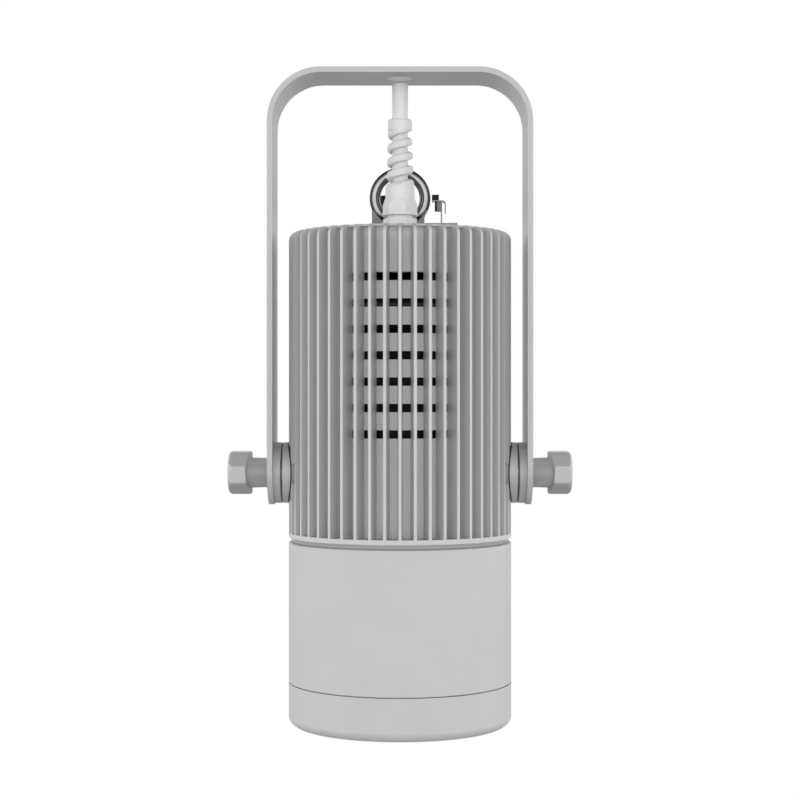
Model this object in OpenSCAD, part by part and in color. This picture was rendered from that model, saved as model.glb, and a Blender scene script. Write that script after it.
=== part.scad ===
// Hanging LED wash light: a finned lamp body that tilts in a flat-bar yoke.
// The origin is the centre of the hanging hole on the top face of the yoke,
// +Z is up and the tilt axis runs along X. All sizes are in millimetres.

/* [Lamp body] */
// Outer diameter of bezel, barrel and fin tips
body_d = 128; // [120:1:144]
// Height of the front bezel up to its seam
bezel_h = 24.2; // [22:0.1:32]
// Height of the smooth barrel
barrel_h = 79.9; // [70:0.1:110]
// Height of the finned housing, flange and top plate included
housing_h = 175; // [168:1:200]
// Rounding of the bezel's front edge and of the housing's top edge
edge_r = 5; // [2:0.5:7]
// Wall of the barrel
barrel_wall = 3; // [2:0.5:4]
// Open height of the groove between barrel and housing
groove_h = 2.8; // [2:0.1:4]
// Depth of that groove
groove_depth = 1.6; // [0.8:0.1:2.4]
// Seam left open between bezel and barrel
seam_gap = 0.3; // [0.1:0.1:0.6]

/* [Fins and vents] */
// Number of cooling fins around the housing
fin_count = 48; // [36:4:56]
// Fin thickness at the tip
fin_tip_w = 1.5; // [1.2:0.1:2]
// Fin thickness at the root
fin_root_w = 2; // [1.6:0.1:2.4]
// Fin depth from tip to root
fin_depth = 10.2; // [8:0.1:11]
// Fillet at the root of a fin
fin_fillet = 0.8; // [0.5:0.1:1.4]
// Wall of the core behind the fins
core_wall = 3.5; // [2.5:0.5:4.5]
// Flange that closes the fins below
flange_h = 2.9; // [2:0.1:4]
// Plate that closes the core on top
top_plate = 2.5; // [2:0.1:4]
// Rows of vent slots on the front and on the back
vent_rows = 7; // [4:1:8]
// Distance from one row of slots to the next
vent_pitch = 14.44; // [10:0.01:15]
// Height of a slot
vent_h = 4.6; // [3:0.1:6]
// Width of a row of slots
vent_w = 54.4; // [40:0.1:60]
// From the top of the housing to the middle of the first row
vent_drop = 28.3; // [24:0.1:34]

/* [Yoke and tilt] */
// Height of the tilt axis over the front of the bezel
tilt_h = 144; // [138:1:150]
// From the tilt axis up to the top face of the yoke
yoke_drop = 230.1; // [226:0.1:245]
// Free space between the lamp body and a yoke arm
side_gap = 8.1; // [7:0.1:12]
// Thickness of the yoke bar
bar_t = 3.1; // [3:0.1:5]
// Width of the yoke bar
bar_w = 44; // [36:1:46]
// Outer radius of the two bends
bend_r = 30.4; // [16:0.1:40]
// From the tilt axis to the rounded end of an arm
arm_end = 18.3; // [17.8:0.1:19]
// Hanging hole in the top of the yoke
hang_hole_d = 14; // [10:0.5:16]
// Diameter of the toothed discs
disc_d = 35; // [32:0.5:35]
// Teeth on a disc
disc_teeth = 54; // [30:2:60]
// Depth of the teeth at the rim
tooth_h = 0.9; // [0.5:0.1:1.2]
// Slack between the crests of two facing discs
tooth_slack = 0.1; // [0.1:0.05:0.4]
// Thickness of the outer disc, teeth included
outer_disc_t = 4.6; // [4:0.1:5]
// Depth of the pocket that the inner disc sits in
pocket_depth = 6.5; // [5:0.5:8]

/* [Tilt knobs] */
// Thread diameter of the knob studs
stud_d = 10; // [8:1:10]
// Number of flats on a knob
knob_sides = 8; // [6:1:10]
// Diameter over the corners of a knob
knob_d = 25.6; // [20:0.1:30]
// Length of the knob's head
knob_head = 13.8; // [12:0.1:20]
// Diameter of the knob's neck, half way along it
neck_d = 17.3; // [15:0.1:19]
// Length of the neck, washer included
neck_len = 9.6; // [6:0.1:14]
// Thickness of the washer under the neck
washer_t = 1; // [0.6:0.1:1.6]

/* [Front optics] */
// Thickness of the front glass
glass_t = 4; // [3:0.5:5]
// Height of the lip below the glass
lip_h = 7; // [5:0.5:8]
// Width of the lip, from the glass edge inwards
lip_w = 4; // [3:0.5:5]
// Thickness of the flat gasket
gasket_t = 1; // [0.5:0.1:1.5]
// Height of the ring that holds the glass
retainer_h = 3.5; // [3:0.1:5]
// Wall of the reflector
reflector_wall = 1.2; // [0.8:0.1:2]
// Diameter of the light-emitting surface
emitter_d = 22; // [16:1:24]
// Side of the square LED board
led_board_w = 28; // [25:1:30]
// Thickness of the LED board
led_board_t = 1.5; // [1:0.1:2]
// Thickness of the heat spreader
spreader_h = 11; // [9:0.5:14]

/* [Cable entry] */
// Diameter of the power cable
cable_d = 9.1; // [8:0.1:9.4]
// Width over the flats of the gland
gland_flats = 17.6; // [17.2:0.1:19]
// Height of the gland's lower hexagon
gland_collar_h = 8.3; // [6:0.1:10]
// Open groove between the lower hexagon and the nut
gland_groove = 1.8; // [1:0.1:3]
// Height of the gland nut's hexagon
gland_nut_h = 9.6; // [9:0.1:12]
// Length of the bend protection above the nut
boot_h = 45.6; // [40:0.1:52]
// Diameter of the bend protection at its foot
boot_foot_d = 16.9; // [15.6:0.1:17]
// Diameter of the bend protection at its tip
boot_tip_d = 13.8; // [13:0.1:15]
// Rise of the spiral band in one turn
spiral_pitch = 8; // [7.6:0.1:8.2]
// Open height between two turns of the band
spiral_gap = 3.4; // [2:0.1:4]
// Turns of the spiral band, its ends in collar and shoulder included
spiral_turns = 4.4; // [4.3:0.1:4.5]

/* [Top fittings] */
// Outer diameter of the safety ring
ring_d = 36; // [32:0.5:38]
// Thickness of the ring
ring_t = 6.5; // [5:0.5:8]
// From the lamp's axis back to the ring
ring_back = 25; // [23:0.5:27]
// Height of the ring's lowest point over the housing
ring_lift = 5; // [4:0.5:7]
// Diameter of the control socket's thread
socket_d = 12; // [10:0.5:13]
// Height of the control socket with its cap
socket_h = 25.9; // [20:0.1:30]

/* [Hidden] */

$fn = 96;
eps = 0.01;
seat = 0.1;             // play between pieces that are pushed together by hand
bolt_play = 0.3;        // radial play of a bolt in its clearance hole
run_play = 0.06;        // radial play of a shaft that turns in its hole

// Heights of the lamp, measured from the front face of the bezel.
body_r = body_d / 2;
barrel_z = bezel_h + seam_gap;
groove_z = bezel_h + barrel_h;
housing_z = groove_z + groove_h;
top_z = housing_z + housing_h;
root_r = body_r - fin_depth;
cavity_r = root_r - core_wall;
cap_r = body_r - edge_r - 0.4;
cap_t = 1.2;
lamp_z = -yoke_drop - tilt_h;

// Places along the tilt axis, measured from the middle of the lamp.
arm_in = body_r + side_gap;
arm_out = arm_in + bar_t;
pocket_x = body_r - pocket_depth;
inner_disc_top = arm_in - outer_disc_t - tooth_slack;
inner_disc_t = inner_disc_top - pocket_x;
neck_x = arm_out + washer_t;
head_x = arm_out + neck_len;
stud_start_x = cavity_r - 3.5;
disc_r = disc_d / 2;
pocket_r = disc_r + 0.6;
disc_screw_r = 8.4;
disc_recess_r = 11.6;
valley_flat = 0.1;      // height of the flats between the teeth

// Screws: [thread radius, head radius, head height].
m3 = [1.5, 2.75, 1.9];
m4 = [2, 3.5, 2.4];

// Optics and heat path.
glass_r = body_r - 7.5;
glass_z = lip_h + gasket_t;
retainer_z = glass_z + glass_t;
reflector_z = retainer_z + retainer_h;
barrel_flange = 3.5;
barrel_screw_r = cavity_r - 8.3;
barrel_flange_r = barrel_screw_r - 4;
holder_h = 5.9;
holder_r = 24;
holder_screw_y = 19.5;
holder_z = housing_z - holder_h;
spreader_top = housing_z + spreader_h;
boss_ring_r = cavity_r - 4.5;
boss_r = 4.8;
boss_h = 17;
ring_screws = 6;

// Fan on its shelf and four standoffs, and the two boards on their upright tray.
shelf_t = 1.8;
shelf_z = top_z - vent_drop - vent_pitch - vent_h / 2 + 0.5;
fan_w = 50;
fan_h = 15;
fan_screw_pitch = 40;
standoff_flats = 6;
standoff_r = cavity_r - standoff_flats / sqrt(3) - 2.3;
tray_t = 1.2;
tray_w = 60;
tray_h = shelf_z - spreader_top - 6.5;
tray_y = 8;
tray_foot = 14;
tray_screw_x = 20;
spacer_h = 3;
board_t = 1.6;
driver_w = 52;
driver_h = 80;
driver_lift = 9;
choke_h = 18;
control_w = 40;
control_h = 52;
control_lift = 16;

// Gland, stacked on the top plate.
gland_z = top_z;
nut_z = gland_z + gland_collar_h + gland_groove;
boot_z = nut_z + gland_nut_h;
boot_top = boot_z + boot_h;
gland_turn = -10;
gland_thread_r = 7.9;
nut_foot = 1.6;
nut_bevel = 4;
cable_inside = 20;      // length of cable below the top plate
cable_r = cable_d / 2;
cable_play = 0.2;
shoulder_h = 9.3;
collar_h = 6;
band_from = 60;         // the band starts inside the collar
band_to = band_from - 360 * spiral_turns;
band_top_z = boot_top - 3.2;
band_h = spiral_pitch - spiral_gap;
band_round = 1.7;       // rounding of the band's outer edges

// The cable's free stretch, from the nut's hexagon to its cut end.
cable_route = [[0, 0, 0], [0, 0, 22], [0, 0, 44], [0, 0, 66.4]];

// Ring, socket and clip behind the gland.
ring_z = top_z + ring_lift + ring_d / 2;
ring_mid_r = ring_d / 2 - ring_t / 2;
socket_pos = [-6, cavity_r - 10, 0];
socket_nut_flats = socket_d + 3;
clip_pos = [24.3, root_r - 18.8, 0];
clip_base_h = 8.6;
clip_leaf_z = 22;       // underside of the clip's leaf over the housing
clip_leaf_t = 0.6;
clip_plate_t = 0.8;
clip_foot = [5, 8];     // foot of the bracket, let into the base
clip_screw = [1.5, 1.9, 1.2];
clip_screw_y = 6.4;

// Builds a piece of the lamp, drawn from the bezel's front face, in place.
module on_lamp() {
    translate([0, 0, lamp_z]) children();
}

// Points local +Z outwards along the tilt axis, on the right (1) or left (-1).
module on_axis(side) {
    mirror([side < 0 ? 1 : 0, 0, 0])
        translate([0, 0, -yoke_drop]) rotate([0, 90, 0]) children();
}

// A hexagon bar over its flats.
module hex_bar(flats, height) {
    cylinder(d = flats / cos(30), h = height, $fn = 6);
}

// A tube.
module tube(outer, inner, height) {
    difference() {
        cylinder(r = outer, h = height);
        translate([0, 0, -1]) cylinder(r = inner, h = height + 2);
    }
}

// A cheese-head screw whose head hangs below z = 0 and whose thread goes up.
module head_screw(size, length) {
    difference() {
        translate([0, 0, -size[2]]) cylinder(r = size[1], h = size[2]);
        translate([0, 0, -size[2] - eps]) cylinder(r = size[0] * 0.9, h = size[2] * 0.6, $fn = 6);
    }
    cylinder(r = size[0], h = length);
}

// A countersunk screw, head flush with z = 0, thread going down.
module flush_screw(size, length) {
    difference() {
        union() {
            translate([0, 0, -size[2]]) cylinder(r1 = size[0], r2 = size[1], h = size[2]);
            translate([0, 0, -length]) cylinder(r = size[0], h = length);
        }
        translate([0, 0, -size[2] * 0.6]) cylinder(r = size[0] * 0.7, h = size[2], $fn = 6);
    }
}

// The hole that such a countersunk screw needs.
module flush_hole(size, length) {
    translate([0, 0, -size[2] - seat]) cylinder(r1 = size[0] + seat, r2 = size[1] + seat, h = size[2] + seat + eps);
    translate([0, 0, -length]) cylinder(r = size[0] + seat, h = length);
}

module around(count, radius, start = 0) {
    for (i = [0 : count - 1]) rotate([0, 0, start + i * 360 / count]) translate([radius, 0, 0]) children();
}

// Sweeps a cross-section along rings of points, closed at both ends.
module skin(rings) {
    n = len(rings[0]);
    last = len(rings) - 1;
    walls = [for (i = [0 : last - 1], j = [0 : n - 1], k = [0, 1]) let (j2 = (j + 1) % n)
        k == 0 ? [i * n + j, (i + 1) * n + j, i * n + j2] : [i * n + j2, (i + 1) * n + j, (i + 1) * n + j2]];
    polyhedron(points = [for (ring = rings, p = ring) p],
        faces = concat(walls, [[for (j = [0 : n - 1]) j]], [[for (j = [n - 1 : -1 : 0]) last * n + j]]));
}

// Yoke: one flat steel bar, bent twice, with round ends and three holes.
module yoke_shape(half, top, radius) {
    translate([-half, -bar_w / 2, -yoke_drop - bar_w]) cube([2 * half, bar_w, yoke_drop + bar_w - radius + top]);
    translate([radius - half, -bar_w / 2, -yoke_drop]) cube([2 * (half - radius), bar_w, yoke_drop + top]);
    for (side = [-1, 1]) translate([side * (half - radius), bar_w / 2, top - radius])
        rotate([90, 0, 0]) cylinder(r = radius, h = bar_w);
}

module yoke() {
    end_z = bar_w / 2 - arm_end - yoke_drop;
    color("gainsboro") difference() {
        intersection() {
            difference() {
                yoke_shape(arm_out, 0, bend_r);
                yoke_shape(arm_in, -bar_t, bend_r - bar_t);
            }
            union() {
                translate([-arm_out - 1, -bar_w / 2 - 1, end_z]) cube([2 * arm_out + 2, bar_w + 2, yoke_drop + bar_w]);
                translate([-arm_out - 1, 0, end_z]) rotate([0, 90, 0]) cylinder(d = bar_w, h = 2 * arm_out + 2);
            }
        }
        translate([0, 0, -bar_t - 1]) cylinder(d = hang_hole_d, h = bar_t + 2);
        for (side = [-1, 1]) on_axis(side) {
            translate([0, 0, arm_in - 1]) cylinder(r = stud_d / 2 + bolt_play, h = bar_t + 2);
            translate([0, 0, arm_in - 1]) around(3, disc_screw_r, 90) cylinder(r = m3[0] + seat, h = bar_t - 0.4);
        }
    }
}

// A ring of radial teeth: every flank runs through the middle of the disc.
module tooth_crown(base) {
    crown_r = disc_r - 0.25;
    steps = 2 * disc_teeth;
    rim = [for (i = [0 : steps - 1]) let (a = i * 360 / steps)
        [crown_r * cos(a), crown_r * sin(a), i % 2 == 0 ? 0 : -tooth_h]];
    foot = [for (p = rim) [p[0], p[1], -tooth_h - base]];
    polyhedron(points = concat(rim, foot, [[0, 0, -tooth_h / 2]]),
        faces = concat(
            [for (i = [0 : steps - 1]) [2 * steps, (i + 1) % steps, i]],
            [for (i = [0 : steps - 1]) [i, (i + 1) % steps, steps + (i + 1) % steps]],
            [for (i = [0 : steps - 1]) [i, steps + (i + 1) % steps, steps + i]],
            [[for (i = [0 : steps - 1]) steps + i]]));
}

// A toothed disc with its crests at z = 0 and its back at z = -thickness.
module tooth_disc(thickness, phase) {
    difference() {
        union() {
            translate([0, 0, -thickness]) cylinder(r = disc_r, h = thickness - tooth_h + valley_flat);
            rotate([0, 0, phase]) tooth_crown(1);
        }
        translate([0, 0, -tooth_h - 0.3]) cylinder(r = disc_recess_r, h = tooth_h + 1);
        translate([0, 0, -thickness - 1]) cylinder(r = stud_d / 2 + bolt_play, h = thickness + 2);
        translate([0, 0, -tooth_h - 0.3]) around(3, disc_screw_r, 90) flush_hole(m3, thickness + 1);
    }
}

module outer_tooth_disc(side) {
    color("silver") on_axis(side) translate([0, 0, arm_in - outer_disc_t])
        mirror([0, 0, 1]) tooth_disc(outer_disc_t, -90 / disc_teeth);
}

module inner_tooth_disc(side) {
    color("silver") on_axis(side) translate([0, 0, inner_disc_top]) tooth_disc(inner_disc_t, 90 / disc_teeth);
}

module outer_disc_screws() {
    color("dimgray") for (side = [-1, 1]) on_axis(side)
        translate([0, 0, arm_in - outer_disc_t + tooth_h + 0.3]) mirror([0, 0, 1])
            around(3, disc_screw_r, 90) flush_screw(m3, outer_disc_t - tooth_h - 0.3 + bar_t - 1.6);
}

module inner_disc_screws() {
    color("dimgray") for (side = [-1, 1]) on_axis(side)
        translate([0, 0, inner_disc_top - tooth_h - 0.3])
            around(3, disc_screw_r, 90) flush_screw(m3, inner_disc_t - tooth_h - 0.3 + 5);
}

// One space between two fins, open at the tips, with filleted roots.
module fin_gap() {
    a = 180 / fin_count;
    half_root = root_r * sin(a) - fin_root_w / 2 * cos(a);
    fillet = min(fin_fillet, half_root - 0.2);
    outside = body_r + 2;
    half_out = outside * sin(a) - fin_tip_w / 2 * cos(a);
    corner = [for (phi = [180 : -30 : 90])
        [root_r + fillet + fillet * cos(phi), half_root - fillet + fillet * sin(phi)]];
    side = concat(corner, [[outside, half_out]]);
    polygon(concat(side, [for (i = [len(side) - 1 : -1 : 0]) [side[i][0], -side[i][1]]]));
}

// Housing: one casting, open below. A thin cap covers the fins on top and leaves
// out their tips, which curve over and stand free.
module housing_envelope() {
    bevel = 0.4;
    rotate_extrude() {
        translate([0, housing_z]) square([body_r - bevel, housing_h - edge_r]);
        translate([0, housing_z + bevel]) square([body_r, housing_h - edge_r - bevel]);
        polygon([[body_r - bevel - 1, housing_z], [body_r - bevel, housing_z], [body_r, housing_z + bevel],
            [body_r - bevel - 1, housing_z + bevel + 1]]);
        translate([0, housing_z + bevel]) square([body_r - edge_r, housing_h - bevel]);
        translate([body_r - edge_r, top_z - edge_r]) circle(r = edge_r);
    }
}

module vent_slots() {
    intersection() {
        for (row = [0 : vent_rows - 1])
            translate([-vent_w / 2, -body_r, top_z - vent_drop - row * vent_pitch - vent_h / 2])
                cube([vent_w, body_d, vent_h]);
        translate([0, 0, housing_z]) cylinder(r = root_r + 0.4, h = housing_h);
    }
}

module heatsink_housing() {
    fin_z = housing_z + flange_h;
    color("gainsboro") on_lamp() difference() {
        union() {
            difference() {
                housing_envelope();
                for (i = [0 : fin_count - 1]) rotate([0, 0, (i + 0.5) * 360 / fin_count - 90])
                    translate([0, 0, fin_z]) linear_extrude(housing_h - flange_h + 1) fin_gap();
                translate([0, 0, housing_z - 1]) cylinder(r = cavity_r, h = housing_h - top_plate + 1);
                vent_slots();
            }
            translate([0, 0, top_z - cap_t]) cylinder(r1 = cap_r, r2 = cap_r - 0.4, h = cap_t);
            translate([0, 0, spreader_top]) around(ring_screws, boss_ring_r, 30) cylinder(r = boss_r, h = boss_h);
            for (side = [-1, 1]) mirror([side < 0 ? 1 : 0, 0, 0]) translate([cavity_r - 4.3, 0, tilt_h])
                rotate([0, 90, 0]) cylinder(r = pocket_r, h = pocket_x - cavity_r + 4.3);
        }
        for (side = [-1, 1]) mirror([side < 0 ? 1 : 0, 0, 0]) translate([0, 0, tilt_h]) rotate([0, 90, 0]) {
            translate([0, 0, pocket_x]) cylinder(r = pocket_r, h = fin_depth);
            translate([0, 0, cavity_r - 10]) cylinder(r = stud_d / 2 + run_play, h = 20);
            translate([0, 0, pocket_x - 6]) around(3, disc_screw_r, 90) cylinder(r = m3[0] + seat, h = 7);
        }
        translate([0, 0, spreader_top - 1]) around(ring_screws, boss_ring_r, 30) cylinder(r = m4[0] + seat, h = boss_h - 3);
        translate([0, 0, top_z - top_plate - 1]) cylinder(r = gland_thread_r + bolt_play, h = top_plate + 2);
        translate([0, ring_back, top_z - top_plate - 1]) cylinder(r = m4[0] + bolt_play, h = top_plate + 2);
        translate(socket_pos + [0, 0, top_z - top_plate - 1]) cylinder(r = socket_d / 2 + bolt_play, h = top_plate + 2);
        translate(clip_pos + [0, 0, top_z - top_plate - 1]) for (side = [-1, 1]) translate([0, side * clip_screw_y, 0])
            cylinder(r = m3[0] + seat, h = top_plate + 2);
    }
}

// Barrel: turned tube whose top flange is screwed under the heat spreader.
module barrel() {
    inner = body_r - barrel_wall;
    neck = body_r - groove_depth;
    slope = groove_depth / 2;
    color("gainsboro") on_lamp() difference() {
        rotate_extrude() polygon([
            [inner, barrel_z], [body_r - 0.4, barrel_z], [body_r, barrel_z + 0.4], [body_r, groove_z],
            [neck, groove_z + slope], [neck, housing_z], [barrel_flange_r, housing_z],
            [barrel_flange_r, housing_z - barrel_flange], [inner, housing_z - barrel_flange]]);
        translate([0, 0, housing_z - 2]) tube(neck - 2.6, neck - 5.4, 3);
        translate([0, 0, housing_z - barrel_flange - 1]) around(ring_screws, barrel_screw_r)
            cylinder(r = m4[0] + bolt_play, h = barrel_flange + 2);
    }
}

module barrel_seal() {
    color("dimgray") on_lamp() translate([0, 0, housing_z - 1])
        rotate_extrude() translate([body_r - groove_depth - 4, 0]) circle(r = 0.98, $fn = 32);
}

module barrel_screws() {
    color("silver") on_lamp() translate([0, 0, housing_z - barrel_flange]) around(ring_screws, barrel_screw_r)
        head_screw(m4, barrel_flange + 5);
}

// Bezel: turned ring with a rounded front edge, a lip for the glass and a spigot.
module front_bezel() {
    spigot = body_r - barrel_wall - 0.3;
    bore = glass_r + 0.4;
    lip = glass_r - lip_w;
    color("gainsboro") on_lamp() difference() {
        rotate_extrude() {
            difference() {
                union() {
                    translate([0, edge_r]) square([body_r, bezel_h - edge_r]);
                    square([body_r - edge_r, bezel_h]);
                    translate([body_r - edge_r, edge_r]) circle(r = edge_r);
                    square([spigot, bezel_h + 8]);
                }
                translate([-1, -1]) square([lip + 1, bezel_h]);
                translate([-1, lip_h]) square([bore + 1, bezel_h + 8]);
                polygon([[lip - 1, -1], [lip + 4, -1], [lip - 1, 4]]);
            }
        }
    }
}

module front_glass() {
    color([0.8, 0.9, 0.95, 0.35]) on_lamp() translate([0, 0, glass_z]) cylinder(r = glass_r, h = glass_t);
}

module glass_gasket() {
    color("dimgray") on_lamp() translate([0, 0, lip_h]) tube(glass_r + 0.2, glass_r - lip_w + 0.4, gasket_t);
}

module glass_retainer() {
    color("silver") on_lamp() translate([0, 0, retainer_z]) difference() {
        tube(glass_r + 0.3, glass_r - lip_w + 0.4, retainer_h);
        for (a = [0, 90]) rotate([0, 0, a]) translate([-body_r, -1.5, retainer_h - 1]) cube([body_d, 3, 2]);
    }
}

// Reflector: spun aluminium bowl, narrow at the LED and wide at the glass.
module reflector() {
    throat = emitter_d / 2 + 1.5;
    mouth = glass_r - lip_w - 2.5;
    rise = holder_z - seat - reflector_z;
    curve = [for (i = [0 : 16]) let (t = i / 16)
        [sqrt(throat * throat + (mouth * mouth - throat * throat) * t), reflector_z + rise * (1 - t)]];
    outside = [for (i = [16 : -1 : 0]) [curve[i][0] + reflector_wall, curve[i][1]]];
    color("silver") on_lamp() rotate_extrude() {
        polygon(concat(curve, outside));
        translate([mouth, reflector_z]) square([glass_r - mouth, reflector_wall]);
    }
}

// LED: a board with one round emitter, pressed up by a moulded holder.
module led_board() {
    color("whitesmoke") on_lamp() translate([-led_board_w / 2, -led_board_w / 2, housing_z - led_board_t])
        cube([led_board_w, led_board_w, led_board_t]);
}

module led_emitter() {
    color("gold") on_lamp() translate([0, 0, housing_z - led_board_t - 0.6]) cylinder(d = emitter_d, h = 0.6);
}

module led_holder() {
    pocket = led_board_w + 2 * seat;
    color("white") on_lamp() difference() {
        translate([0, 0, holder_z]) cylinder(r = holder_r, h = holder_h);
        translate([-pocket / 2, -pocket / 2, housing_z - led_board_t - seat]) cube([pocket, pocket, led_board_t + 1]);
        translate([0, 0, holder_z - eps]) cylinder(r1 = emitter_d / 2 + 1.5, r2 = emitter_d / 2 + 0.3, h = holder_h);
        for (side = [-1, 1]) translate([0, side * holder_screw_y, holder_z])
            mirror([0, 0, 1]) flush_hole(m3, holder_h + 1);
    }
}

module led_holder_screws() {
    color("silver") on_lamp() for (side = [-1, 1]) translate([0, side * holder_screw_y, holder_z])
        mirror([0, 0, 1]) flush_screw(m3, holder_h + 5);
}

// Heat spreader: thick disc that closes the housing and carries the LED.
module heat_spreader() {
    color("silver") on_lamp() difference() {
        translate([0, 0, housing_z]) cylinder(r = cavity_r - seat, h = spreader_h);
        translate([0, 0, housing_z - 1]) around(ring_screws, barrel_screw_r) cylinder(r = m4[0] + seat, h = 7.5);
        translate([0, 0, housing_z - 1]) around(ring_screws, boss_ring_r, 30) {
            cylinder(r = m4[0] + bolt_play, h = spreader_h + 2);
            cylinder(r = m4[1] + 0.4, h = m4[2] + 1.8);
        }
        translate([0, 0, spreader_top - 5]) around(4, standoff_r, 45) cylinder(r = m3[0] + seat, h = 6);
        translate([0, 0, housing_z - 1]) for (side = [-1, 1]) translate([0, side * holder_screw_y, 0])
            cylinder(r = m3[0] + seat, h = 7);
        translate([0, tray_y + 8, spreader_top - 5]) for (x = [-1, 1]) translate([x * tray_screw_x, 0, 0])
            cylinder(r = m3[0] + seat, h = 6);
    }
}

module spreader_screws() {
    color("silver") on_lamp() translate([0, 0, housing_z + m4[2] + 0.8]) around(ring_screws, boss_ring_r, 30)
        head_screw(m4, spreader_h - m4[2] - 0.8 + 10);
}

// Four hexagon standoffs carry the shelf with the fan.
module standoffs() {
    color("silver") on_lamp() around(4, standoff_r, 45) {
        translate([0, 0, spreader_top]) difference() {
            hex_bar(standoff_flats, shelf_z - spreader_top);
            translate([0, 0, shelf_z - spreader_top - 8]) cylinder(r = m3[0] + seat, h = 9);
        }
        translate([0, 0, spreader_top - 4.5]) cylinder(r = m3[0], h = 5);
    }
}

module fan_shelf() {
    color("gainsboro") on_lamp() difference() {
        translate([0, 0, shelf_z]) cylinder(r = cavity_r - 0.4, h = shelf_t);
        translate([0, 0, shelf_z - 1]) {
            cylinder(r = fan_w / 2 - 2, h = shelf_t + 2);
            around(4, standoff_r, 45) cylinder(r = m3[0] + bolt_play, h = shelf_t + 2);
            around(4, fan_screw_pitch / sqrt(2), 45) cylinder(r = m3[0] + seat, h = shelf_t + 2);
        }
    }
}

module shelf_screws() {
    color("dimgray") on_lamp() translate([0, 0, shelf_z + shelf_t]) around(4, standoff_r, 45)
        mirror([0, 0, 1]) head_screw(m3, shelf_t + 5);
}

module fan_screws() {
    color("dimgray") on_lamp() translate([0, 0, shelf_z + shelf_t + fan_h]) around(4, fan_screw_pitch / sqrt(2), 45)
        mirror([0, 0, 1]) head_screw(m3, fan_h + shelf_t + 1);
}

// Fan: square frame with a hub on three spokes, and a rotor with seven blades.
module fan_frame() {
    corner = 3;
    half = fan_w / 2;
    color("black") on_lamp() translate([0, 0, shelf_z + shelf_t]) difference() {
        union() {
            difference() {
                linear_extrude(fan_h) polygon([for (a = [0 : 90 : 270], side = [-1, 1])
                    [half * cos(a) - side * (half - corner) * sin(a), half * sin(a) + side * (half - corner) * cos(a)]]);
                translate([0, 0, -1]) cylinder(r = half - 2, h = fan_h + 2);
            }
            cylinder(r = 13, h = 2);
            for (a = [30, 150, 270]) rotate([0, 0, a]) translate([0, -1.5, 0]) cube([half - 1, 3, 2]);
            cylinder(r = 1.5, h = fan_h - 3);
        }
        translate([0, 0, -1]) around(4, fan_screw_pitch / sqrt(2), 45) cylinder(r = m3[0] + seat, h = fan_h + 2);
    }
}

module fan_rotor() {
    hub_z = 2.4;
    color("dimgray") on_lamp() translate([0, 0, shelf_z + shelf_t + hub_z]) difference() {
        union() {
            cylinder(r = 12.5, h = fan_h - hub_z - 1);
            for (i = [0 : 6]) rotate([0, 0, i * 360 / 7]) translate([11, 0, 1]) rotate([35, 0, 0])
                translate([0, -6, 4.4]) cube([fan_w / 2 - 2 - 11 - 2.2, 12, 1.2]);
        }
        translate([0, 0, -1]) cylinder(r = 1.5 + run_play, h = fan_h - hub_z - 1.4);
    }
}

// Power supply: board on an upright tray that stands on the heat spreader, with
// the control board on the tray's other side.
module driver_tray() {
    color("silver") on_lamp() translate([0, tray_y, spreader_top]) difference() {
        union() {
            translate([-tray_w / 2, 0, 0]) cube([tray_w, tray_t, tray_h]);
            translate([-tray_w / 2, 0, 0]) cube([tray_w, tray_foot, tray_t]);
            for (side = [-1, 1]) translate([side > 0 ? tray_w / 2 - tray_t : -tray_w / 2, 0, 0])
                cube([tray_t, tray_foot - 5, tray_h]);
            for (x = [-1, 1], z = [5, driver_h - 5])
                translate([x * (driver_w / 2 - 4), 0, driver_lift + z]) rotate([90, 0, 0]) cylinder(r = 3, h = spacer_h);
            for (x = [-1, 1], z = [6, control_h - 6])
                translate([x * (control_w / 2 - 5), tray_t, control_lift + z]) rotate([-90, 0, 0])
                    cylinder(r = 3, h = spacer_h);
        }
        for (x = [-1, 1]) translate([x * tray_screw_x, 8, -1]) cylinder(r = m3[0] + seat, h = tray_t + 2);
    }
}

module driver_board() {
    transformer = [24, choke_h, 22];
    rail = [driver_w - 12, 8, 6];
    terminal = [6, 6, 8];
    color("darkgreen") on_lamp() translate([0, tray_y - spacer_h, spreader_top + driver_lift]) {
        translate([-driver_w / 2, -board_t, 0]) cube([driver_w, board_t, driver_h]);
        translate([-transformer[0] / 2, -board_t - transformer[1] + eps, driver_h / 2 - 9]) cube(transformer);
        for (x = [-1, 1]) translate([x * (driver_w / 2 - 9), eps - board_t, 13]) rotate([90, 0, 0])
            cylinder(r = 7, h = choke_h);
        translate([-rail[0] / 2, -board_t - rail[1] + eps, driver_h - 21]) cube(rail);
        for (i = [-1.5 : 1.5])
            translate([(2 * i - 0.5) * terminal[0], -board_t - terminal[1] + eps, driver_h - 11]) cube(terminal);
    }
}

module control_board() {
    chip = [12, 2, 12];
    header = [control_w - 8, 7, 8];
    color("darkgreen") on_lamp() translate([0, tray_y + tray_t + spacer_h, spreader_top + control_lift]) {
        translate([-control_w / 2, 0, 0]) cube([control_w, board_t, control_h]);
        translate([-chip[0] / 2, board_t - eps, control_h / 2 - 8]) cube(chip);
        translate([-header[0] / 2, board_t - eps, control_h - 14]) cube(header);
    }
}

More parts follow.
